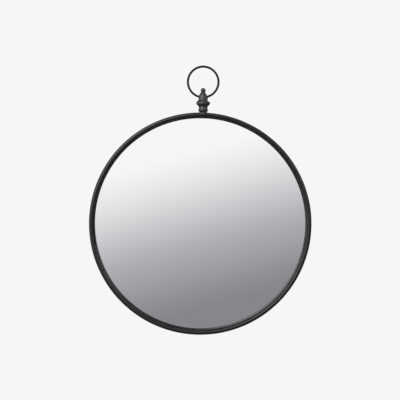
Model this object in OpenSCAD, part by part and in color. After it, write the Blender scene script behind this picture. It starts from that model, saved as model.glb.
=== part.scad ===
// Round wall mirror: a tubular steel hoop, a turned finial and a loose ring on top.
// Millimetres. The origin is the hoop's centre on the wall: X right, Y into the wall, Z up.
// Flat pieces are drawn with X right, Y up and Z as the depth in front of the wall, then stood up.

/* [Hoop] */
// Outside diameter of the hoop
hoop_d = 600; // [400:10:900]
// Diameter of the hoop's round tube
tube_d = 12; // [10:0.5:20]
// Wall thickness of the tube
tube_wall = 1.2; // [0.8:0.1:2]

/* [Angle ring] */
// Thickness of the rolled angle
angle_t = 1.5; // [1:0.1:2.5]
// How far the rim of the angle lies inside the hoop's outside
rim_inset = 0.5; // [0.2:0.1:2]
// Radius of the angle's outer corner
rim_corner = 1; // [0.5:0.1:1.4]
// How far the lip covers the edge of the glass
glass_cover = 4.4; // [3:0.1:6]

/* [Glass and back] */
// Thickness of the mirror glass
glass_t = 4; // [3:0.5:6]
// Ground bevel round the edge of the glass
glass_arris = 0.5; // [0.3:0.1:1]
// Thickness of the glazing strip between the lip and the glass
strip_t = 1.2; // [0.8:0.1:2]
// How far the glazing strip stays back from the lip's edge
strip_setback = 1; // [0.5:0.1:2]
// Thickness of the backing board
board_t = 3; // [2:0.5:6]
// Room between the backing board and the wall
back_room = 7.5; // [7:0.5:12]
// Diameter of the rubber bumpers
bumper_d = 12; // [8:0.5:16]
// Distance from the board's edge to a bumper's centre
bumper_inset = 13; // [10:0.5:30]

/* [Turn buttons] */
// Diameter of the threaded lugs beside the glass
lug_d = 8; // [7:0.5:12]
// Thickness of a turn button
button_t = 1.5; // [1:0.1:2]
// Length of a turn button from its pivot to its tip
button_reach = 13.5; // [11:0.5:15]
// Width of a turn button's round tip
button_tip_w = 6; // [5:0.1:7]
// Thread diameter of the button screws
button_screw_d = 3; // [2.5:0.1:3.5]
// Head diameter of the button screws
button_head_d = 5.8; // [5:0.1:7]
// Head height of the button screws
button_head_h = 1.8; // [1.4:0.1:2.2]
// Diameter of the washers
washer_d = 6.6; // [6:0.1:7.5]
// Thickness of the washers
washer_t = 0.5; // [0.3:0.1:0.8]

/* [Hanger] */
// Thickness of the hanger plate
hanger_t = 1.5; // [1:0.1:2]
// Length of the hanger plate
hanger_w = 100; // [96:1:130]
// Distance between the hanger screws
hanger_span = 82; // [78:1:84]
// Length of the raised middle of the hanger plate
crown_w = 50; // [36:1:52]
// Gap between the raised middle and the wall
crown_gap = 1; // [0.5:0.1:1.5]
// Inside radius of the hanger plate's bends
bend_r = 1.5; // [1:0.1:1.8]
// Diameter of the keyhole's round entry
keyhole_d = 12; // [10:0.5:14]
// Width of the keyhole's slot
slot_w = 6; // [4:0.5:7]
// Distance from the round entry up to the end of the slot
slot_travel = 12; // [10:0.5:15]
// Plate above the end of the slot
plate_above = 13.5; // [8:0.5:20]
// Plate below the round entry
plate_below = 6; // [4:0.5:10]
// Thread diameter of the hanger screws
hanger_screw_d = 4; // [3.5:0.1:5]
// Head diameter of the hanger screws
hanger_head_d = 7; // [6.5:0.1:8]
// Head height of the hanger screws
hanger_head_h = 2.2; // [1.8:0.1:3]

/* [Finial] */
// How far the finial stands to the right of the hoop's centre
finial_shift = 7.8; // [0:0.1:20]
// Diameter of the foot, which straddles the tube
foot_d = 22.8; // [21:0.1:28]
// How far the foot wraps down over the tube
foot_wrap = 7; // [5:0.5:9]
// Radius of the foot's lower edge
foot_round = 2.2; // [1:0.1:3]
// Diameter of the waist above the foot
waist_d = 20; // [16:0.1:20.5]
// Height of the waist above the tube
waist_h = 0.2; // [0:0.1:3]
// Diameter of the collar
collar_d = 28.6; // [27:0.1:34]
// Height of the cone under the collar
collar_rise = 3.8; // [3:0.1:8]
// Thickness of the collar's round rim
collar_t = 2.2; // [1:0.1:3]
// Depth of the groove above the collar
groove_deep = 0.6; // [0.3:0.1:0.8]
// How far the stem spreads at its foot
stem_flare = 0.9; // [0.3:0.1:1.2]
// Diameter of the stem at its upper end
stem_d = 23.8; // [20:0.1:24.2]
// Length of the stem
stem_len = 8.3; // [6:0.1:14]
// Diameter of the round bead
bead_d = 37.4; // [34:0.1:44]
// Radius of the bead's round edge
bead_r = 6.8; // [5:0.1:8]
// Radius of the cove between the bead and the cone
cove_r = 2.5; // [1.5:0.1:4]
// Widest diameter of the cone
cone_d = 25.4; // [23:0.1:27]
// Length of the cone's straight part
cone_straight = 3.6; // [2:0.1:8]
// Radius of the cone's curved side
cone_curve = 23; // [20:0.1:30]
// Diameter of the neck under the ball
neck_d = 10.8; // [8:0.1:11]
// Length of the neck
neck_len = 0.3; // [0.2:0.1:3]
// Diameter of the ball
ball_d = 13.8; // [12:0.1:16]
// Diameter of the stud between the finial and the tube
stud_d = 6; // [4:0.5:8]
// Length of the stud inside the finial
stud_grip = 12; // [8:0.5:16]
// Length of the stud that shows inside the tube
stud_tail = 1.8; // [1:0.1:3]

/* [Hanging ring] */
// Outside diameter of the ring
ring_d = 88; // [70:0.1:110]
// Diameter of the ring's wire
wire_d = 6; // [3:0.1:6.5]
// Height of the cross hole above the cone's straight part
hole_rise = 4.2; // [3:0.1:6]

/* [Clearances] */
// Gap on each side of a lug, to the glass and to the rim
channel_gap = 0.5; // [0.3:0.1:1]
// Gap between the backing board and the level of the lugs
board_gap = 0.3; // [0.1:0.1:0.5]
// Axial play on each side of a turn button
button_play = 0.1; // [0.05:0.05:0.2]
// Radial clearance of a turn button on its screw
pivot_gap = 0.1; // [0.05:0.01:0.1]
// Radial clearance of a screw or a stud in its hole
screw_gap = 0.05; // [0.02:0.01:0.2]
// Gap between the end of a screw and the lip
tip_gap = 0.7; // [0.3:0.1:1.5]
// Gap between the hanger plate and the rim
plate_gap = 0.5; // [0.3:0.1:1.5]
// Gap between the finial's foot and what it straddles
cope_gap = 0.1; // [0.05:0.05:0.3]
// Least clearance of the ring in its cross hole
ring_gap = 0.4; // [0.2:0.05:0.6]

/* [Hidden] */
$fn = 96;

BLACK = "#2a2a2c";
ZINC = "#b9bcbd";

button_count = 6;
button_step = 360 / button_count;
bumper_count = 4;
bumper_step = 360 / bumper_count;
edge_ease = 0.4;
past = 1;

// Radii from the hoop inwards
hoop_r = hoop_d / 2;
tube_r = tube_d / 2;
tube_path_r = hoop_r - tube_r;
rim_r = hoop_r - rim_inset;
rim_in_r = rim_r - angle_t;
lug_path_r = rim_in_r - channel_gap - lug_d / 2;
glass_r = lug_path_r - lug_d / 2 - channel_gap;
sight_r = glass_r - glass_cover;

// Depths from the wall forwards
board_front = back_room + board_t;
glass_front = board_front + glass_t;
lip_back = glass_front + strip_t;
lip_front = lip_back + angle_t;
tube_depth = lip_front + tube_r;
lug_end = back_room - board_gap;
button_back = lug_end - button_play - button_t;
washer_back = button_back - button_play - washer_t;

// Turn button: as wide at its pivot as the channel beside the glass allows
button_w = lug_d - channel_gap;
button_tip_y = button_tip_w / 2 - button_reach;
button_taper = asin((button_w - button_tip_w) / 2 / -button_tip_y);
pip_r = button_tip_w / 3;
pip_h = 0.5;
pip_ball_r = (pip_r * pip_r + pip_h * pip_h) / (2 * pip_h);

// Hanger plate: its ends lie on the board and its middle is raised towards the wall
hanger_rise = back_room - hanger_t - crown_gap;
bend_angle = 45;
bend_drop = (2 * bend_r + hanger_t) * (1 - cos(bend_angle));
ramp_len = (hanger_rise - bend_drop) / sin(bend_angle);
ramp_run = (2 * bend_r + hanger_t) * sin(bend_angle) + ramp_len * cos(bend_angle);
hanger_x = hanger_span / 2;
hanger_y = sqrt(lug_path_r * lug_path_r - hanger_x * hanger_x);
slot_y = rim_in_r - plate_gap - plate_above;
keyhole_y = slot_y - slot_travel;
plate_low = keyhole_y - keyhole_d / 2 - plate_below;
plate_corner = 4;
hanger_hole_gap = 0.2;

// Heights up the finial, from the top of the tube under it
rim_slope = 40;
rim_round = collar_t / 2;
rim_path_r = collar_d / 2 - rim_round;
rim_h = waist_h + collar_rise + rim_round;
collar_high_h = rim_h + rim_round;
stem_foot_r = stem_d / 2 + stem_flare;
stem_low_h = collar_high_h + 2 * groove_deep;
stem_high_h = stem_low_h + stem_len;
bead_path_r = bead_d / 2 - bead_r;
bead_slope = 45;
bead_low_r = bead_path_r + bead_r * cos(bead_slope);
bead_h = stem_high_h + (bead_low_r - stem_d / 2) * tan(bead_slope) + bead_r * sin(bead_slope);
cone_r = cone_d / 2;
cove_out = cone_r + cove_r - bead_path_r;
cove_turn = acos(cove_out / (bead_r + cove_r));
cove_h = bead_h + (bead_r + cove_r) * sin(cove_turn);
cone_low_h = cove_h + cone_straight;
cone_turn = acos(1 - (cone_r - neck_d / 2) / cone_curve);
neck_low_h = cone_low_h + cone_curve * sin(cone_turn);
ball_r = ball_d / 2;
ball_turn = acos(neck_d / ball_d);
ball_h = neck_low_h + neck_len + ball_r * sin(ball_turn);

// Finial's place, the cross hole and the ring that hangs in it
finial_z = sqrt(tube_path_r * tube_path_r - finial_shift * finial_shift) + tube_r;
finial_at = [finial_shift, -tube_depth, finial_z];
wire_r = wire_d / 2;
ring_path_r = ring_d / 2 - wire_r;
ring_sag = ring_path_r - sqrt(ring_path_r * ring_path_r - cone_r * cone_r);
hole_r = wire_r + ring_sag / 2 + ring_gap;
hole_h = cone_low_h + hole_rise;
ring_h = hole_h - ring_sag / 2 + ring_path_r;

// Stands up what is drawn flat
module on_wall() {
    rotate([90, 0, 0]) children();
}

// Turns what is drawn at the top of the hoop clockwise to another place on it
module around(angle, radius) {
    rotate([0, 0, -angle]) translate([0, radius, 0]) children();
}

// Points along a round arc
function arc(centre, r, from, to, steps) = [
    for (i = [0 : steps])
        let (a = from + (to - from) * i / steps)
        centre + r * [cos(a), sin(a)]
];

// Points along a curve that leaves a towards b and reaches c from b
function sweep(a, b, c, steps) = [
    for (i = [0 : steps])
        let (t = i / steps)
        (1 - t) * (1 - t) * a + 2 * t * (1 - t) * b + t * t * c
];

// Section of a round sheet with its edges eased
function disc_section(r, back, front, ease) = [
    [0, back], [r - ease, back], [r, back + ease], [r, front - ease], [r - ease, front], [0, front]
];

// Section of the rolled angle: a rim to the wall and a lip in front of the glass
function angle_section() = concat(
    [[rim_in_r, 0], [rim_r, 0]],
    arc([rim_r - rim_corner, lip_front - rim_corner], rim_corner, 0, 90, 6),
    arc([sight_r + edge_ease, lip_front - edge_ease], edge_ease, 90, 180, 4),
    [[sight_r, lip_back], [rim_in_r, lip_back]]
);

// Section of a rubber bumper, a little narrower at the wall
function bumper_section() =
    let (wall_r = bumper_d / 2 - edge_ease)
    concat(
        [[0, 0]],
        arc([wall_r - edge_ease, edge_ease], edge_ease, -90, 0, 4),
        [[bumper_d / 2, back_room], [0, back_room]]
    );

// Section of a pan-head screw, its shank along +Z from the underside of the head
function screw_section(shank_d, shank_len, head_d, head_h) =
    let (crown_h = head_h / 2, tip = shank_d / 6)
    concat(
        [for (a = [90 : -15 : 0]) [head_d / 2 * cos(a), crown_h - head_h - crown_h * sin(a)]],
        [
            [head_d / 2, 0],
            [shank_d / 2, 0],
            [shank_d / 2, shank_len - tip],
            [shank_d / 2 - tip, shank_len],
            [0, shank_len]
        ]
    );

// Outline of a turn button: a round pivot end that tapers to a smaller round tip
function button_outline() = concat(
    arc([0, 0], button_w / 2, -button_taper, 180 + button_taper, 24),
    arc([0, button_tip_y], button_tip_w / 2, 180 + button_taper, 360 - button_taper, 20)
);

// Half outline of the hanger plate's joggle: out along the wall side and back along the board side
function joggle_half() =
    let (
        inner = bend_r,
        outer = bend_r + hanger_t,
        first = [crown_w / 2, crown_gap + outer],
        second = [crown_w / 2 + ramp_run, back_room - outer]
    )
    concat(
        arc(first, outer, -90, -90 + bend_angle, 4),
        arc(second, inner, 90 + bend_angle, 90, 4),
        [[hanger_w / 2, back_room - hanger_t], [hanger_w / 2, back_room]],
        arc(second, outer, 90, 90 + bend_angle, 4),
        arc(first, inner, -90 + bend_angle, -90, 4)
    );

// Whole outline of the joggle: one half, then its mirror image backwards
function joggle() =
    let (half = joggle_half(), last = len(half) - 1)
    concat(half, [for (i = [last : -1 : 0]) [-half[i][0], half[i][1]]]);

// Half section of the finial, from the bottom of its foot up to the top of its ball
function finial_section() =
    let (
        foot_r = foot_d / 2,
        waist_r = waist_d / 2,
        edge_h = foot_round - foot_wrap,
        under = [rim_path_r, rim_h] + rim_round * [cos(rim_slope), -sin(rim_slope)]
    )
    concat(
        [[0, -foot_wrap]],
        arc([foot_r - foot_round, edge_h], foot_round, -90, 0, 8),
        sweep([foot_r, edge_h], [(foot_r + 2 * waist_r) / 3, edge_h / 2], [waist_r, waist_h], 8),
        sweep([waist_r, waist_h], [waist_r, (waist_h + under.y) / 2], under, 6),
        arc([rim_path_r, rim_h], rim_round, -rim_slope, 90, 12),
        [[stem_foot_r - groove_deep, collar_high_h + groove_deep]],
        sweep([stem_foot_r, stem_low_h], [stem_d / 2 - edge_ease, (stem_low_h + stem_high_h) / 2],
              [stem_d / 2, stem_high_h], 8),
        arc([bead_path_r, bead_h], bead_r, -bead_slope, cove_turn, 22),
        arc([cone_r + cove_r, cove_h], cove_r, 180 + cove_turn, 180, 8),
        arc([cone_r - cone_curve, cone_low_h], cone_curve, 0, cone_turn, 14),
        arc([0, ball_h], ball_r, -ball_turn, 90, 20)
    );

module hoop_tube() {
    color(BLACK)
    difference() {
        on_wall()
        translate([0, 0, tube_depth])
        rotate_extrude($fn = 360)
        translate([tube_path_r, 0])
        difference() {
            circle(r = tube_r);
            circle(r = tube_r - tube_wall);
        }
        translate(finial_at - [0, 0, tube_r])
        cylinder(h = tube_d, d = stud_d + 2 * screw_gap);
    }
}

module angle_ring() {
    color(BLACK)
    on_wall()
    rotate_extrude($fn = 360)
    polygon(angle_section());
}

module glazing_strip() {
    color("#1c1c1c")
    on_wall()
    translate([0, 0, glass_front])
    difference() {
        cylinder(h = strip_t, r = glass_r);
        translate([0, 0, -past]) cylinder(h = strip_t + 2 * past, r = sight_r + strip_setback);
    }
}

module mirror_glass() {
    color("#cdd2d6")
    on_wall()
    rotate_extrude($fn = 360)
    polygon(disc_section(glass_r, board_front, glass_front, glass_arris));
}

module backing_board() {
    color("#8a6a48")
    on_wall()
    rotate_extrude($fn = 360)
    polygon(disc_section(glass_r, back_room, board_front, edge_ease));
}

// A threaded post on the back of the lip, reaching back to the given depth
module lug(depth, screw_d) {
    translate([0, 0, depth])
    difference() {
        cylinder(h = lip_back - depth, d = lug_d);
        translate([0, 0, -past]) cylinder(h = lip_back - depth + past, d = screw_d + 2 * screw_gap);
    }
}

module button_lugs() {
    color(BLACK)
    on_wall()
    for (i = [0 : button_count - 1])
        around((i + 0.5) * button_step, lug_path_r) lug(lug_end, button_screw_d);
}

// One steel turn button, numbered clockwise from the top, with a pressed pip to turn it by
module turn_button(number) {
    color(ZINC)
    on_wall()
    around((number - 0.5) * button_step, lug_path_r)
    translate([0, 0, button_back])
    difference() {
        union() {
            linear_extrude(button_t) polygon(button_outline());
            translate([0, button_tip_y, 0])
            intersection() {
                translate([0, 0, pip_ball_r - pip_h]) sphere(r = pip_ball_r);
                translate([0, 0, -pip_h]) cylinder(h = pip_h + button_t / 2, r = pip_r);
            }
        }
        translate([0, 0, -past])
        cylinder(h = button_t + 2 * past, d = button_screw_d + 2 * pivot_gap);
    }
}

module button_washers() {
    color(ZINC)
    on_wall()
    for (i = [0 : button_count - 1])
        around((i + 0.5) * button_step, lug_path_r)
        translate([0, 0, washer_back])
        difference() {
            cylinder(h = washer_t, d = washer_d);
            translate([0, 0, -past])
            cylinder(h = washer_t + 2 * past, d = button_screw_d + 2 * screw_gap);
        }
}

// A pan-head screw with a cross recess, the underside of its head at the given depth
module pan_screw(depth, shank_d, shank_len, head_d, head_h) {
    recess_len = head_d * 0.55;
    recess_w = head_d * 0.15;
    recess_deep = head_h * 0.55;
    translate([0, 0, depth])
    difference() {
        rotate_extrude() polygon(screw_section(shank_d, shank_len, head_d, head_h));
        for (turn = [0, 90])
            rotate([0, 0, turn])
            translate([-recess_len / 2, -recess_w / 2, -head_h - past])
            cube([recess_len, recess_w, recess_deep + past]);
    }
}

module button_screws() {
    color(ZINC)
    on_wall()
    for (i = [0 : button_count - 1])
        around((i + 0.5) * button_step, lug_path_r)
        pan_screw(washer_back, button_screw_d, lip_back - tip_gap - washer_back, button_head_d, button_head_h);
}

// Places children at both hanger screws
module at_hanger_screws() {
    for (side = [-1, 1])
        translate([side * hanger_x, hanger_y, 0]) children();
}

module hanger_lugs() {
    color(BLACK)
    on_wall()
    at_hanger_screws() lug(back_room, hanger_screw_d);
}

// Outline of the hanger plate from behind: its top edge follows the rim
module plate_outline() {
    intersection() {
        circle(r = rim_in_r - plate_gap, $fn = 360);
        union() {
            translate([-hanger_w / 2, plate_low + plate_corner]) square([hanger_w, hoop_r - plate_low]);
            translate([plate_corner - hanger_w / 2, plate_low]) square([hanger_w - 2 * plate_corner, hoop_r]);
            for (side = [-1, 1])
                translate([side * (hanger_w / 2 - plate_corner), plate_low + plate_corner])
                circle(r = plate_corner);
        }
    }
}

module hanger_plate() {
    color(ZINC)
    on_wall()
    difference() {
        intersection() {
            linear_extrude(back_room + past) plate_outline();
            translate([0, hoop_r, 0])
            rotate([90, 0, 0])
            linear_extrude(hoop_r - plate_low + past)
            polygon(joggle());
        }
        translate([0, keyhole_y, 0]) cylinder(h = back_room, d = keyhole_d);
        translate([-slot_w / 2, keyhole_y, 0]) cube([slot_w, slot_travel, back_room]);
        translate([0, slot_y, 0]) cylinder(h = back_room, d = slot_w);
        at_hanger_screws()
        cylinder(h = back_room + 2 * past, d = hanger_screw_d + 2 * hanger_hole_gap);
    }
}

module hanger_screws() {
    head_at = back_room - hanger_t;
    color(ZINC)
    on_wall()
    at_hanger_screws()
    pan_screw(head_at, hanger_screw_d, lip_back - tip_gap - head_at, hanger_head_d, hanger_head_h);
}

module bumpers() {
    color("#161616")
    on_wall()
    for (i = [0 : bumper_count - 1])
        around((i + 0.5) * bumper_step, glass_r - bumper_inset)
        rotate_extrude()
        polygon(bumper_section());
}

// The turned finial: its foot is coped over the tube and the rim, its cone is bored across for
// the ring, and a blind hole up its middle takes the stud
module finial() {
    color(BLACK)
    difference() {
        translate(finial_at) rotate_extrude() polygon(finial_section());
        on_wall()
        translate([0, 0, tube_depth])
        rotate_extrude($fn = 360)
        translate([tube_path_r, 0])
        circle(r = tube_r + cope_gap);
        on_wall() cylinder(h = lip_front + cope_gap, r = rim_r + cope_gap, $fn = 360);
        translate(finial_at + [-cone_d, 0, hole_h])
        rotate([0, 90, 0])
        cylinder(h = 2 * cone_d, r = hole_r);
        translate(finial_at - [0, 0, tube_r])
        cylinder(h = tube_r + stud_grip + tip_gap, d = stud_d + 2 * screw_gap);
    }
}

module finial_stud() {
    low = -tube_wall - stud_tail;
    color(ZINC)
    translate(finial_at + [0, 0, low])
    rotate_extrude()
    polygon(disc_section(stud_d / 2, 0, stud_grip - low, edge_ease));
}

module hanging_ring() {
    color(BLACK)
    translate(finial_at + [0, 0, ring_h])
    on_wall()
    rotate_extrude($fn = 180)
    translate([ring_path_r, 0])
    circle(r = wire_r);
}

hoop_tube();
angle_ring();
glazing_strip();
mirror_glass();
backing_board();
button_lugs();
turn_button(1);  // turn_button_1
turn_button(2);  // turn_button_2
turn_button(3);  // turn_button_3
turn_button(4);  // turn_button_4
turn_button(5);  // turn_button_5
turn_button(6);  // turn_button_6
button_washers();
button_screws();
hanger_lugs();
hanger_plate();
hanger_screws();
bumpers();
finial();
finial_stud();
hanging_ring();
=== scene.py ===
import math

import bmesh
import bpy
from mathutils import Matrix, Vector


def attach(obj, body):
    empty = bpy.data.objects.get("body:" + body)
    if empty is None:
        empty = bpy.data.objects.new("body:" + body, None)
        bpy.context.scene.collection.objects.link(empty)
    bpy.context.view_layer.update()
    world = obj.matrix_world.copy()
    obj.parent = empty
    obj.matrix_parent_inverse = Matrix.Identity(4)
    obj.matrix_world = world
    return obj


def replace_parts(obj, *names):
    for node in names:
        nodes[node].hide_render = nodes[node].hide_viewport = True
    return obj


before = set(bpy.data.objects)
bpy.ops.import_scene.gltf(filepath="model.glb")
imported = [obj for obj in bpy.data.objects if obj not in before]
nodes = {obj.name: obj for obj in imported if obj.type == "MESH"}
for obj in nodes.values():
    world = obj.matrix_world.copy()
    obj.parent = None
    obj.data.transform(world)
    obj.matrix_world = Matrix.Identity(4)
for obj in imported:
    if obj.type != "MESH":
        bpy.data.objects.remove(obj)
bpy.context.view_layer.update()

# Sizes in metres and slopes in degrees, as in the part
HOOP_R = 0.3
TUBE_R = 0.006
TUBE_PATH_R = HOOP_R - TUBE_R
ANGLE_T = 0.0015
RIM_INSET = 0.0005
RIM_CORNER = 0.001
RIM_R = HOOP_R - RIM_INSET
RIM_IN_R = RIM_R - ANGLE_T
CHANNEL_WIDTH = 0.009
GLASS_COVER = 0.0044
GLASS_R = RIM_IN_R - CHANNEL_WIDTH
SIGHT_R = GLASS_R - GLASS_COVER

# Depths from the wall forwards
BOARD_T = 0.003
BOARD_EASE = 0.0004
GLASS_T = 0.004
GLASS_ARRIS = 0.0005
STRIP_T = 0.0012
BOARD_BACK = 0.0075
GLASS_BACK = BOARD_BACK + BOARD_T
GLASS_FRONT = GLASS_BACK + GLASS_T
LIP_BACK = GLASS_FRONT + STRIP_T
LIP_FRONT = LIP_BACK + ANGLE_T
TUBE_DEPTH = LIP_FRONT + TUBE_R

# The finial, from its foot up to its ball
FINIAL_X = 0.0078
FINIAL_Z = math.sqrt(TUBE_PATH_R ** 2 - FINIAL_X ** 2) + TUBE_R
FOOT_R = 0.0114
FOOT_WRAP = 0.007
FOOT_ROUND = 0.0022
WAIST_R = 0.01
WAIST_H = 0.0002
COLLAR_R = 0.0143
COLLAR_RISE = 0.0038
COLLAR_ROUND = 0.0011
COLLAR_SLOPE = 40
GROOVE_DEEP = 0.0006
STEM_R = 0.0119
STEM_FLARE = 0.0009
STEM_HOLLOW = 0.0004
STEM_LENGTH = 0.0083
BEAD_R = 0.0187
BEAD_ROUND = 0.0068
BEAD_SLOPE = 45
COVE_ROUND = 0.0025
CONE_R = 0.0127
CONE_STRAIGHT = 0.0036
CONE_CURVE = 0.023
NECK_R = 0.0054
NECK_LENGTH = 0.0003
BALL_R = 0.0069

# The hanging ring and its cross hole
RING_R = 0.044
WIRE_R = 0.003
HOLE_RISE = 0.0042
RING_GAP = 0.0004
COPE_GAP = 0.0001


def show(name, data):
    """Puts a new object with this data in the scene."""
    made = bpy.data.objects.new(name, data)
    bpy.context.scene.collection.objects.link(made)
    return made


# Camera: FRAME_WIDTH is how many metres the view takes in, from side to side, where it aims
FRAME_WIDTH = 1.0772
SENSOR_WIDTH = 36
CAMERA_DISTANCE = 3.4
CAMERA_RISE = math.radians(2.2)
CAMERA_LEFT = math.radians(0.5)
AIM = Vector((-0.0008, -TUBE_DEPTH, 0.0647))

camera_data = bpy.data.cameras.new("camera")
camera_data.sensor_width = SENSOR_WIDTH
camera_data.lens = SENSOR_WIDTH * CAMERA_DISTANCE / FRAME_WIDTH
camera = show("camera", camera_data)
to_camera = Vector((
    -math.sin(CAMERA_LEFT) * math.cos(CAMERA_RISE),
    -math.cos(CAMERA_LEFT) * math.cos(CAMERA_RISE),
    math.sin(CAMERA_RISE),
))
camera.location = AIM + to_camera * CAMERA_DISTANCE
camera.rotation_euler = (-to_camera).to_track_quat("-Z", "Y").to_euler()
bpy.context.scene.camera = camera
bpy.context.scene.view_settings.view_transform = "Standard"

# Shares of a noise: most of it, its middle, and its middle and upper part
NOISE_SPAN = (0.3, 0.7)
MIDDLE_SPAN = (0.35, 0.65)
UPPER_SPAN = (0.35, 0.7)


class Graph:
    """Short forms for building a node tree."""

    def __init__(self, tree):
        self.tree = tree
        tree.nodes.clear()

    def add(self, kind, **settings):
        node = self.tree.nodes.new(kind)
        for key, value in settings.items():
            setattr(node, key, value)
        return node

    def put(self, node, socket, value):
        """Links a socket to the node's input, or sets the input to a value."""
        target = node.inputs[socket]
        if isinstance(value, bpy.types.NodeSocket):
            self.tree.links.new(value, target)
        else:
            target.default_value = value

    def where(self):
        """The place on the object, in metres."""
        return self.add("ShaderNodeTexCoord").outputs["Object"]

    def parts(self, vector):
        """The X, Y and Z of a vector."""
        node = self.add("ShaderNodeSeparateXYZ")
        self.put(node, 0, vector)
        return node.outputs

    def math(self, operation, a, b):
        node = self.add("ShaderNodeMath", operation=operation)
        self.put(node, 0, a)
        self.put(node, 1, b)
        return node.outputs[0]

    def mix(self, factor, a, b):
        """Blends two colours. Inputs 6 and 7 and output 2 are the node's sockets for colour."""
        node = self.add("ShaderNodeMix", data_type="RGBA")
        self.put(node, 0, factor)
        self.put(node, 6, a)
        self.put(node, 7, b)
        return node.outputs[2]

    def span(self, value, low, high, to_low=0.0, to_high=1.0, course="LINEAR"):
        """Maps low and high to to_low and to_high, and holds the value at these outside them."""
        node = self.add("ShaderNodeMapRange", interpolation_type=course)
        for i, part in enumerate((value, low, high, to_low, to_high)):
            self.put(node, i, part)
        return node.outputs[0]

    def sway(self, noise, amount):
        """A noise as a value from -amount to amount."""
        return self.span(noise, *NOISE_SPAN, -amount, amount)

    def noise(self, vector, scale, detail, rough):
        node = self.add("ShaderNodeTexNoise")
        self.put(node, "Vector", vector)
        self.put(node, "Scale", scale)
        self.put(node, "Detail", detail)
        self.put(node, "Roughness", rough)
        return node.outputs[0]

    def bump(self, height, strength, distance):
        node = self.add("ShaderNodeBump")
        self.put(node, "Height", height)
        self.put(node, "Strength", strength)
        self.put(node, "Distance", distance)
        return node.outputs[0]


def rgb(red, green, blue):
    return (red, green, blue, 1.0)


def grey(value):
    return rgb(value, value, value)


def scaled(tone, factor):
    return rgb(*[part * factor for part in tone])


def linear(level):
    """Linear value of an sRGB grey from 0 to 255."""
    share = level / 255
    return share / 12.92 if share <= 0.04045 else ((share + 0.055) / 1.055) ** 2.4


def material(name):
    made = bpy.data.materials.new(name)
    made.use_nodes = True
    graph = Graph(made.node_tree)
    shader = graph.add("ShaderNodeBsdfPrincipled")
    graph.put(graph.add("ShaderNodeOutputMaterial"), "Surface", shader.outputs[0])
    return made, graph, shader


# World

# The camera sees a pale backdrop. Glass and metal see a studio that is white above and grey below,
# with its horizon tilted a little. All else is lit by an even soft light.
BACKDROP = linear(246)
SOFT_LIGHT = 0.5
HORIZON_TILT = math.radians(15)
# Height on the glass's centre line, in metres, and the studio's tone that the camera sees there
STUDIO_STOPS = [
    (-0.27, 0.2535), (-0.235, 0.2535), (-0.197, 0.277), (-0.138, 0.349), (-0.054, 0.448),
    (0.0, 0.558), (0.108, 0.806), (0.162, 0.91), (0.205, 0.966),
]
# Below and above these: how far a ray points down or up, from -1 to 1, and the tone there
FLOOR_STOPS = [(-1.0, 0.05), (-0.6, 0.16), (-0.2, 0.235)]
CEILING_STOPS = [(0.2, 0.9), (0.55, 0.35), (1.0, 0.2)]
# Glass shows the studio below this height as grey as it is there
GLASS_LOWEST = -0.2
# Tones darker than this have a slight cool tint
COOL_BELOW = 0.6
COOL_TINT = (1.0, 0.99, 1.06)
NO_TINT = (1.0, 1.0, 1.0)


def ray_height(z):
    """How far above the horizon a ray from the camera points once the glass has turned it back.

    It meets the glass on the centre line at height z.
    """
    ray = (Vector((0, -GLASS_BACK, z)) - camera.location).normalized()
    return ray.z * math.cos(HORIZON_TILT) - ray.x * math.sin(HORIZON_TILT)


world = bpy.data.worlds.new("studio")
world.use_nodes = True
bpy.context.scene.world = world
graph = Graph(world.node_tree)
direction = graph.parts(graph.add("ShaderNodeTexCoord").outputs["Generated"])
height = graph.math(
    "SUBTRACT",
    graph.math("MULTIPLY", direction["Z"], math.cos(HORIZON_TILT)),
    graph.math("MULTIPLY", direction["X"], math.sin(HORIZON_TILT)),
)
stops = FLOOR_STOPS + [(ray_height(z), value) for z, value in STUDIO_STOPS] + CEILING_STOPS
lowest, highest = stops[0][0], stops[-1][0]
ramp = graph.add("ShaderNodeValToRGB")
elements = ramp.color_ramp.elements
# New elements are all made halfway, and get their places after that
while len(elements) < len(stops):
    elements.new(0.5)
for element, (rise, value) in zip(elements, stops):
    element.position = (rise - lowest) / (highest - lowest)
    element.color = scaled(COOL_TINT if value < COOL_BELOW else NO_TINT, value)
rays = graph.add("ShaderNodeLightPath").outputs
above_lowest = graph.math("SUBTRACT", graph.math("MAXIMUM", height, GLASS_LOWEST), height)
height = graph.math("ADD", height, graph.math("MULTIPLY", above_lowest, rays["Is Transmission Ray"]))
graph.put(ramp, 0, graph.span(height, lowest, highest))
seen_in_gloss = graph.math("MAXIMUM", rays["Is Glossy Ray"], rays["Is Transmission Ray"])
shown = graph.mix(seen_in_gloss, grey(SOFT_LIGHT), ramp.outputs[0])
shown = graph.mix(rays["Is Camera Ray"], shown, grey(BACKDROP))
background = graph.add("ShaderNodeBackground")
graph.put(background, "Color", shown)
graph.put(background, "Strength", 1.0)
graph.put(graph.add("ShaderNodeOutputWorld"), "Surface", background.outputs[0])


# Lamps
def softbox(name, place, target, size, power):
    """A rectangular lamp at place that faces target.

    The camera sees it neither straight on nor in the silver behind the glass.
    """
    data = bpy.data.lights.new(name, "AREA")
    data.shape = "RECTANGLE"
    data.size, data.size_y = size
    data.energy = power
    lamp = show(name, data)
    lamp.location = place
    lamp.visible_transmission = False
    lamp.visible_camera = False
    lamp.rotation_euler = (Vector(target) - Vector(place)).to_track_quat("-Z", "Y").to_euler()


softbox("key", place=(-0.85, -1.17, 0.87), target=(0, 0, 0.05), size=(1.5, 1.5), power=24)
softbox("overhead", place=(0.1, -0.75, 1.9), target=(0, 0, 0), size=(1.4, 0.6), power=2)
softbox("right_fill", place=(1.9, -1.5, 0.7), target=(0, 0, 0), size=(0.7, 1.1), power=3)
softbox("back_fill", place=(0.9, 2.0, 1.4), target=(0, 0, 0), size=(1.3, 1.3), power=30)

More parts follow.
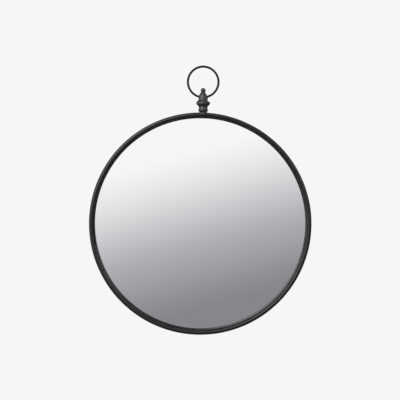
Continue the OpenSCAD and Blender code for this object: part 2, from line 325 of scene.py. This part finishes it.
# Floor: pale, and it fades out before its edge. Glass and metal don't show it.
FLOOR_Z = -0.9
FLOOR_REACH = 1.6
FLOOR_FADE = (0.85, 1.55)
FLOOR_TONE = 0.84
FLOOR_ROUGHNESS = 0.9

floor_mesh = bpy.data.meshes.new("floor")
corners = [(x * FLOOR_REACH, y * FLOOR_REACH, 0) for x, y in ((-1, -1), (1, -1), (1, 1), (-1, 1))]
floor_mesh.from_pydata(corners, [], [(0, 1, 2, 3)])
floor = show("floor", floor_mesh)
floor.location = (0, 0, FLOOR_Z)
floor.visible_glossy = False
floor.visible_transmission = False
floor_paint, graph, shader = material("floor_paint")
graph.put(shader, "Base Color", grey(FLOOR_TONE))
graph.put(shader, "Roughness", FLOOR_ROUGHNESS)
from_middle = graph.add("ShaderNodeVectorMath", operation="LENGTH")
graph.put(from_middle, 0, graph.where())
fade = graph.span(from_middle.outputs["Value"], *FLOOR_FADE, 1.0, 0.0, course="SMOOTHSTEP")
graph.put(shader, "Alpha", fade)
floor_mesh.materials.append(floor_paint)

# Finishes: colours are linear red, green and blue
COAT_TONE = (0.0085, 0.0085, 0.0095)
# The lip's tone is darker than the coat's: painted shade on the lip, recessed between the tube and the
# glass
LIP_SHADE_TONE = (0.003, 0.003, 0.0035)
WIRE_TONE = (0.004, 0.004, 0.0045)
CAST_TONE = (0.018, 0.019, 0.02)
DARKER, LIGHTER, SPECKLED = 0.8, 1.2, 1.6
DUST_SPAN = (0.62, 0.8)
DUST_COVER = 0.25
CLOUD_GLOSS = 0.04
SKIN_GLOSS = 0.03
SKIN_DEPTH = 0.00002
# The foot of the finial is rougher, and darker as painted shade at its joint with the tube
DULL_AND_SHADED_HEIGHT = 0.002
DULL_AND_SHADED_BLEND = 0.002
DULL_GAIN = 0.2

ZINC_COOL = rgb(0.56, 0.575, 0.6)
ZINC_WARM = rgb(0.68, 0.675, 0.65)
ZINC_ROUGHNESS = (0.26, 0.36)
ZINC_STRETCH = (1, 1, 22)
ZINC_LINE_GLOSS = 0.05
ZINC_LINE_DEPTH = 0.00008

BOARD_DARK = rgb(0.25, 0.145, 0.07)
BOARD_LIGHT = rgb(0.34, 0.205, 0.105)
BOARD_FIBRE = rgb(0.46, 0.3, 0.165)
BOARD_FLECK = rgb(0.13, 0.07, 0.035)
BOARD_ROUGHNESS = (0.5, 0.68)
FIBRE_COVER = 0.45
FIBRE_DEPTH = 0.0001
FLECK_SPAN = (0.66, 0.75)
FLECK_COVER = 0.6

BUMPER_TONE = (0.014, 0.014, 0.015)
FOAM_TONE = (0.018, 0.018, 0.018)
RUBBER_ROUGHNESS = (0.72, 0.88)
RUBBER_GRAIN_DEPTH = 0.00012

GLASS_TONE = 0.9885
SILVER_TONE = 0.967
GLASS_IOR = 1.5


def coated_steel(name, tone, roughness, level, grain=1100, dull_and_shaded_below=None):
    """Black coat with a fine skin and some dust, a little uneven in tone and gloss.

    Below the height that is given it is rougher, and darker as painted shade.
    """
    finish, graph, shader = material(name)
    where = graph.where()
    cloud = graph.noise(where, scale=26, detail=4, rough=0.6)
    skin = graph.noise(where, scale=grain, detail=3, rough=0.55)
    dust = graph.noise(where, scale=420, detail=2, rough=0.6)
    colour = graph.mix(graph.span(cloud, *NOISE_SPAN), scaled(tone, DARKER), scaled(tone, LIGHTER))
    colour = graph.mix(graph.span(dust, *DUST_SPAN, 0, DUST_COVER), colour, scaled(tone, SPECKLED))
    gloss = graph.math("ADD", graph.sway(cloud, CLOUD_GLOSS), graph.sway(skin, SKIN_GLOSS))
    if dull_and_shaded_below is not None:
        fade_span = (dull_and_shaded_below - DULL_AND_SHADED_BLEND, dull_and_shaded_below + DULL_AND_SHADED_BLEND)
        dull_and_shaded = graph.span(graph.parts(where)["Z"], *fade_span, 1.0, 0.0, course="SMOOTHSTEP")
        gloss = graph.math("ADD", gloss, graph.math("MULTIPLY", dull_and_shaded, DULL_GAIN))
        # Painted shade: the colour is darker towards the foot, where the finial meets the tube
        colour = graph.mix(dull_and_shaded, colour, scaled(tone, DARKER))
    graph.put(shader, "Base Color", colour)
    graph.put(shader, "Roughness", graph.math("ADD", gloss, roughness))
    graph.put(shader, "Specular IOR Level", level)
    graph.put(shader, "Normal", graph.bump(skin, strength=0.3, distance=SKIN_DEPTH))
    return finish


def plated_steel(name):
    """Zinc plate, clouded between two tints, with fine drawn lines."""
    finish, graph, shader = material(name)
    where = graph.where()
    cloud = graph.noise(where, scale=60, detail=4, rough=0.6)
    stretched = graph.add("ShaderNodeMapping")
    graph.put(stretched, "Vector", where)
    graph.put(stretched, "Scale", ZINC_STRETCH)
    lines = graph.noise(stretched.outputs[0], scale=160, detail=3, rough=0.6)
    roughness = graph.span(cloud, *NOISE_SPAN, *ZINC_ROUGHNESS)
    graph.put(shader, "Base Color", graph.mix(graph.span(cloud, *MIDDLE_SPAN), ZINC_COOL, ZINC_WARM))
    graph.put(shader, "Metallic", 1.0)
    graph.put(shader, "Roughness", graph.math("ADD", roughness, graph.sway(lines, ZINC_LINE_GLOSS)))
    graph.put(shader, "Normal", graph.bump(lines, strength=0.25, distance=ZINC_LINE_DEPTH))
    return finish


def hardboard(name):
    """Brown pressed board, clouded, with pale fibres and dark flecks."""
    finish, graph, shader = material(name)
    where = graph.where()
    cloud = graph.noise(where, scale=14, detail=5, rough=0.6)
    fibre = graph.noise(where, scale=700, detail=4, rough=0.7)
    fleck = graph.noise(where, scale=260, detail=2, rough=0.5)
    colour = graph.mix(graph.span(cloud, *NOISE_SPAN), BOARD_DARK, BOARD_LIGHT)
    colour = graph.mix(graph.span(fibre, *UPPER_SPAN, 0, FIBRE_COVER), colour, BOARD_FIBRE)
    colour = graph.mix(graph.span(fleck, *FLECK_SPAN, 0, FLECK_COVER), colour, BOARD_FLECK)
    graph.put(shader, "Base Color", colour)
    graph.put(shader, "Roughness", graph.span(fibre, *NOISE_SPAN, *BOARD_ROUGHNESS))
    graph.put(shader, "Normal", graph.bump(fibre, strength=0.4, distance=FIBRE_DEPTH))
    return finish


def rubber(name, tone, grain):
    """Dull rubber or foam with a fine grain."""
    finish, graph, shader = material(name)
    specks = graph.noise(graph.where(), scale=grain, detail=3, rough=0.6)
    colour = graph.mix(graph.span(specks, *UPPER_SPAN), rgb(*tone), scaled(tone, SPECKLED))
    graph.put(shader, "Base Color", colour)
    graph.put(shader, "Roughness", graph.span(specks, *NOISE_SPAN, *RUBBER_ROUGHNESS))
    graph.put(shader, "Normal", graph.bump(specks, strength=0.5, distance=RUBBER_GRAIN_DEPTH))
    return finish


def clear_glass(name):
    finish, graph, shader = material(name)
    graph.put(shader, "Base Color", grey(GLASS_TONE))
    graph.put(shader, "Roughness", 0.0)
    graph.put(shader, "IOR", GLASS_IOR)
    graph.put(shader, "Transmission Weight", 1.0)
    return finish


def silvering(name):
    finish, graph, shader = material(name)
    graph.put(shader, "Base Color", grey(SILVER_TONE))
    graph.put(shader, "Metallic", 1.0)
    graph.put(shader, "Roughness", 0.0)
    return finish


black_coat = coated_steel("black_coat", COAT_TONE, roughness=0.32, level=0.42)
# The lip's darker tone is painted shade in its recess between the tube and the glass; its gloss is its own
black_lip = coated_steel("black_lip", LIP_SHADE_TONE, roughness=0.22, level=0.7)
black_wire = coated_steel("black_wire", WIRE_TONE, roughness=0.42, level=0.24)
# The finial's foot is rougher and has painted shade where it meets the tube
black_cast = coated_steel(
    "black_cast", CAST_TONE, roughness=0.42, level=0.65, grain=800, dull_and_shaded_below=FINIAL_Z + DULL_AND_SHADED_HEIGHT
)
zinc = plated_steel("zinc_plate")
board = hardboard("hardboard")
bumper_rubber = rubber("bumper_rubber", BUMPER_TONE, grain=1500)
foam = rubber("strip_foam", FOAM_TONE, grain=2600)
glass = clear_glass("mirror_glass")
silver = silvering("mirror_silver")

# Finish of each CAD node. The nodes that aren't named here are zinc plated.
FINISHES = {
    "hoop_tube": black_coat,
    "button_lugs": black_coat,
    "hanger_lugs": black_coat,
    "angle_ring": black_lip,
    "hanging_ring": black_wire,
    "finial": black_cast,
    "mirror_glass": glass,
    "backing_board": board,
    "bumpers": bumper_rubber,
    "glazing_strip": foam,
}
for name, node in nodes.items():
    node.data.materials.clear()
    node.data.materials.append(FINISHES.get(name, zinc))

# Fine meshes for the turned and rolled pieces

# Points closer than SAME_POINT are one point, and a radius below ON_AXIS is on the axis
SAME_POINT = 1e-6
ON_AXIS = 1e-7
HOOP_STEPS = 360
TUBE_STEPS = 40
RING_STEPS = 240
WIRE_STEPS = 32
FINIAL_STEPS = 128
BORE_STEPS = 96
SMOOTH_BELOW = 35


def arc(centre, r, start, end, steps):
    """Points on an arc from start to end, in degrees."""
    angles = [math.radians(start + (end - start) * i / steps) for i in range(steps + 1)]
    return [(centre[0] + r * math.cos(a), centre[1] + r * math.sin(a)) for a in angles]


def circle(centre, r, steps):
    return arc(centre, r, 0, 360, steps)[:-1]


def sweep(a, b, c, steps):
    """Points on a curve from a to c that is drawn towards b."""
    points = []
    for i in range(steps + 1):
        t = i / steps
        weights = ((1 - t) ** 2, 2 * t * (1 - t), t * t)
        points.append(tuple(sum(w * p for w, p in zip(weights, place)) for place in zip(a, b, c)))
    return points


def disc_section(r, back, front, ease=0.0):
    """Half section of a disc whose edges are eased."""
    return [(0, back), (r - ease, back), (r, back + ease), (r, front - ease), (r - ease, front), (0, front)]


def distinct(points):
    kept = points[:1]
    for point in points[1:]:
        if math.dist(point, kept[-1]) > SAME_POINT:
            kept.append(point)
    return kept


def mesh_from(name, made):
    mesh = bpy.data.meshes.new(name)
    made.to_mesh(mesh)
    made.free()
    return mesh


def skinned_mesh(name, made, rows, closed):
    """A mesh with faces between neighbouring rows, each a ring of vertices."""
    for a, b in zip(rows, rows[1:] + rows[:1] if closed else rows[1:]):
        for i in range(len(a)):
            k = (i + 1) % len(a)
            corners = list(dict.fromkeys((a[i], a[k], b[k], b[i])))
            if len(corners) > 2:
                made.faces.new(corners)
    bmesh.ops.recalc_face_normals(made, faces=made.faces)
    return mesh_from(name, made)


def turned_mesh(name, section, steps, place, closed=False):
    """Turns a section of (radius, along) points about an axis.

    place gives the point in space of (radius, along, angle).
    """
    made = bmesh.new()
    rows = []
    for r, along in distinct(section):
        if r < ON_AXIS:
            rows.append([made.verts.new(place(0, along, 0))] * steps)
        else:
            rows.append([made.verts.new(place(r, along, math.tau * i / steps)) for i in range(steps)])
    return skinned_mesh(name, made, rows, closed)


def on_wall(r, depth, angle):
    """Round the hoop's axis, clockwise from the top."""
    return (r * math.sin(angle), -depth, r * math.cos(angle))


def piece(name, mesh, finish, body, smooth=SMOOTH_BELOW):
    mesh.materials.clear()
    mesh.materials.append(finish)
    mesh.polygons.foreach_set("use_smooth", [True] * len(mesh.polygons))
    mesh.set_sharp_from_angle(angle=math.radians(smooth))
    made = show(name, mesh)
    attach(made, body)
    return made


# Hoop
hoop_section = circle((TUBE_PATH_R, TUBE_DEPTH), TUBE_R, TUBE_STEPS)
hoop_mesh = turned_mesh("hoop", hoop_section, HOOP_STEPS, on_wall, closed=True)
hoop = piece("hoop", hoop_mesh, black_coat, "frame")
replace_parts(hoop, "hoop_tube")

# Rolled angle: its lip slopes back towards the glass
EASE = 0.0002
INNER_ROUND = 0.0006
SLOPE_WIDTH = 0.0025
SLOPE_DEPTH = 0.0012
SLOPE_ROUND = 0.0008
SLOPE_TURN = math.degrees(math.atan2(SLOPE_DEPTH, SLOPE_WIDTH))

rolled_section = (
    [(RIM_IN_R, EASE), (RIM_IN_R + EASE, 0), (RIM_R - EASE, 0), (RIM_R, EASE)]
    + arc((RIM_R - RIM_CORNER, LIP_FRONT - RIM_CORNER), RIM_CORNER, 0, 90, steps=8)
    + arc((SIGHT_R + SLOPE_WIDTH, LIP_FRONT - SLOPE_ROUND), SLOPE_ROUND, 90, 90 + SLOPE_TURN, steps=3)
    + arc((SIGHT_R + EASE, LIP_FRONT - SLOPE_DEPTH - EASE), EASE, 90 + SLOPE_TURN, 180, steps=6)
    + [(SIGHT_R, LIP_BACK + EASE / 2), (SIGHT_R + EASE / 2, LIP_BACK)]
    + arc((RIM_IN_R - INNER_ROUND, LIP_BACK - INNER_ROUND), INNER_ROUND, 90, 0, steps=5)
)
rolled_mesh = turned_mesh("rolled_angle", rolled_section, HOOP_STEPS, on_wall, closed=True)
rolled = piece("rolled_angle", rolled_mesh, black_lip, "frame", smooth=50)
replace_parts(rolled, "angle_ring")

# Glass and board
for made_name, node_name, back, front, ease, finish, slot in (
    ("glass_sheet", "mirror_glass", GLASS_BACK, GLASS_FRONT, GLASS_ARRIS, glass, "mirror_glass"),
    ("hardboard_sheet", "backing_board", BOARD_BACK, GLASS_BACK, BOARD_EASE, board, "backing_board"),
):
    sheet_section = disc_section(GLASS_R, back, front, ease)
    sheet_mesh = turned_mesh(made_name, sheet_section, HOOP_STEPS, on_wall)
    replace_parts(piece(made_name, sheet_mesh, finish, "frame"), node_name)

# Heights up the finial, from the top of the tube under it
collar_path_r = COLLAR_R - COLLAR_ROUND
collar_h = WAIST_H + COLLAR_RISE + COLLAR_ROUND
collar_high = collar_h + COLLAR_ROUND
groove_h = collar_high + GROOVE_DEEP
stem_low = collar_high + 2 * GROOVE_DEEP
stem_high = stem_low + STEM_LENGTH
bead_path_r = BEAD_R - BEAD_ROUND
bead_slope = math.radians(BEAD_SLOPE)
bead_low_r = bead_path_r + BEAD_ROUND * math.cos(bead_slope)
bead_h = stem_high + (bead_low_r - STEM_R) * math.tan(bead_slope) + BEAD_ROUND * math.sin(bead_slope)
cove_turn = math.acos((CONE_R + COVE_ROUND - bead_path_r) / (BEAD_ROUND + COVE_ROUND))
cove_h = bead_h + (BEAD_ROUND + COVE_ROUND) * math.sin(cove_turn)
cone_low = cove_h + CONE_STRAIGHT
cone_turn = math.acos(1 - (CONE_R - NECK_R) / CONE_CURVE)
neck_low = cone_low + CONE_CURVE * math.sin(cone_turn)
ball_turn = math.acos(NECK_R / BALL_R)
ball_h = neck_low + NECK_LENGTH + BALL_R * math.sin(ball_turn)

# Hanging ring
ring_path_r = RING_R - WIRE_R
ring_sag = ring_path_r - math.sqrt(ring_path_r ** 2 - CONE_R ** 2)
hole_r = WIRE_R + ring_sag / 2 + RING_GAP
hole_h = cone_low + HOLE_RISE
ring_z = FINIAL_Z + hole_h - ring_sag / 2 + ring_path_r


def on_ring(r, depth, angle):
    """Round the ring's centre, clockwise from its top."""
    return (FINIAL_X + r * math.sin(angle), -TUBE_DEPTH - depth, ring_z + r * math.cos(angle))


ring_section = circle((ring_path_r, 0), WIRE_R, WIRE_STEPS)
ring_mesh = turned_mesh("wire_ring", ring_section, RING_STEPS, on_ring, closed=True)
ring = piece("wire_ring", ring_mesh, black_wire, "ring")
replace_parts(ring, "hanging_ring")

# Finial, bored across for the ring and coped over the rolled angle
BORE_REACH = 0.03
COPE_REACH = 0.01
# The floor of the groove is a narrow flat: half its width, and how far it lies outside the part's
GROOVE_FLAT = 0.0001

foot_h = FOOT_ROUND - FOOT_WRAP
foot = (FOOT_R, foot_h)
waist = (WAIST_R, WAIST_H)
collar_slope = math.radians(-COLLAR_SLOPE)
under_collar = (
    collar_path_r + COLLAR_ROUND * math.cos(collar_slope),
    collar_h + COLLAR_ROUND * math.sin(collar_slope),
)
groove_r = STEM_R + STEM_FLARE - GROOVE_DEEP + GROOVE_FLAT
stem_foot = (STEM_R + STEM_FLARE, stem_low)
stem_middle = (STEM_R - STEM_HOLLOW, (stem_low + stem_high) / 2)
cove_end = 180 + math.degrees(cove_turn)
turned_section = (
    [(0, -FOOT_WRAP)]
    + arc((FOOT_R - FOOT_ROUND, foot_h), FOOT_ROUND, -90, 0, steps=16)
    + sweep(foot, ((FOOT_R + 2 * WAIST_R) / 3, foot_h / 2), waist, steps=12)
    + sweep(waist, (WAIST_R, (WAIST_H + under_collar[1]) / 2), under_collar, steps=12)
    + arc((collar_path_r, collar_h), COLLAR_ROUND, -COLLAR_SLOPE, 90, steps=16)
    + [(groove_r, groove_h - GROOVE_FLAT), (groove_r, groove_h + GROOVE_FLAT)]
    + sweep(stem_foot, stem_middle, (STEM_R, stem_high), steps=12)
    + arc((bead_path_r, bead_h), BEAD_ROUND, -BEAD_SLOPE, math.degrees(cove_turn), steps=40)
    + arc((CONE_R + COVE_ROUND, cove_h), COVE_ROUND, cove_end, 180, steps=12)
    + arc((CONE_R - CONE_CURVE, cone_low), CONE_CURVE, 0, math.degrees(cone_turn), steps=24)
    + arc((0, ball_h), BALL_R, -math.degrees(ball_turn), 90, steps=30)
)


def upright(r, height, angle):
    """Round the finial's axis, at a height above the tube."""
    return (FINIAL_X + r * math.cos(angle), -TUBE_DEPTH + r * math.sin(angle), FINIAL_Z + height)


def across(r, along, angle):
    """Round the axis of the cross hole."""
    height = FINIAL_Z + hole_h + r * math.sin(angle)
    return (FINIAL_X + along, -TUBE_DEPTH + r * math.cos(angle), height)


def rough_part(name, section, steps, place):
    return show(name, turned_mesh(name, section, steps, place))


bore_section = disc_section(hole_r, -BORE_REACH, BORE_REACH)
cope_section = disc_section(RIM_R + COPE_GAP, -COPE_REACH, LIP_FRONT + COPE_GAP)
turned_blank = rough_part("turned_blank", turned_section, FINIAL_STEPS, upright)
cutters = [
    rough_part("cross_bore", bore_section, BORE_STEPS, across),
    rough_part("coped_back", cope_section, HOOP_STEPS, on_wall),
]
for cutter in cutters:
    cut = turned_blank.modifiers.new(cutter.name, "BOOLEAN")
    cut.operation = "DIFFERENCE"
    cut.solver = "EXACT"
    cut.object = cutter
bpy.context.view_layer.update()
evaluated = turned_blank.evaluated_get(bpy.context.evaluated_depsgraph_get())
turned = bpy.data.meshes.new_from_object(evaluated)
for made in (turned_blank, *cutters):
    bpy.data.objects.remove(made)
turned.name = "turned_finial"
turned_finial = piece("turned_finial", turned, black_cast, "frame")
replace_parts(turned_finial, "finial")

# Tack welds, in the groove behind between the tube and the rolled angle
TACKS = 10
TACK_LENGTH = 0.013
TACK_R = 0.0017
TACK_FLATNESS = 0.75
TACK_BLUNTNESS = 0.7
TACK_OUT = 0.0044
TACK_ROWS = 20
TACK_STEPS = 12
RIPPLE = 0.07
RIPPLE_COUNT = 9


def tack_swell(t, number):
    """Share of a tack's radius at t, which goes from -1 at one end to 1 at the other."""
    ripple = 1 + RIPPLE * math.sin(RIPPLE_COUNT * math.pi * t + number)
    return math.sqrt(max(0.0, 1 - t * t)) ** TACK_BLUNTNESS * ripple


def tack_mesh(name, number):
    middle = math.tau * (number + 0.5) / TACKS
    path_r, path_depth = TUBE_PATH_R + TACK_OUT, TUBE_DEPTH - TACK_OUT
    made = bmesh.new()
    rows = []
    for i in range(TACK_ROWS + 1):
        t = i / TACK_ROWS * 2 - 1
        turn = middle + t * TACK_LENGTH / 2 / TUBE_PATH_R
        if i in (0, TACK_ROWS):
            rows.append([made.verts.new(on_wall(path_r, path_depth, turn))] * TACK_STEPS)
            continue
        radius = TACK_R * tack_swell(t, number)
        row = [
            (path_r + TACK_FLATNESS * radius * math.cos(a), path_depth + radius * math.sin(a))
            for a in (math.tau * k / TACK_STEPS for k in range(TACK_STEPS))
        ]
        rows.append([made.verts.new(on_wall(*point, turn)) for point in row])
    return skinned_mesh(name, made, rows, closed=False)


for number in range(TACKS):
    tack_name = f"tack_weld_{number + 1}"
    piece(tack_name, tack_mesh(tack_name, number), black_coat, "frame", smooth=60)

# Silver, just in front of the glass's back
SILVER_LIFT = 0.00006
SILVER_INSET = 0.0006
SILVER_STEPS = 180

made = bmesh.new()
silver_r, silver_depth = GLASS_R - SILVER_INSET, GLASS_BACK + SILVER_LIFT
turns = [math.tau * i / SILVER_STEPS for i in range(SILVER_STEPS)]
made.faces.new([made.verts.new(on_wall(silver_r, silver_depth, turn)) for turn in turns])
silver_mesh = mesh_from("mirror_silvering", made)
silver_mesh.materials.append(silver)
silver_disc = show("mirror_silvering", silver_mesh)
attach(silver_disc, "frame")
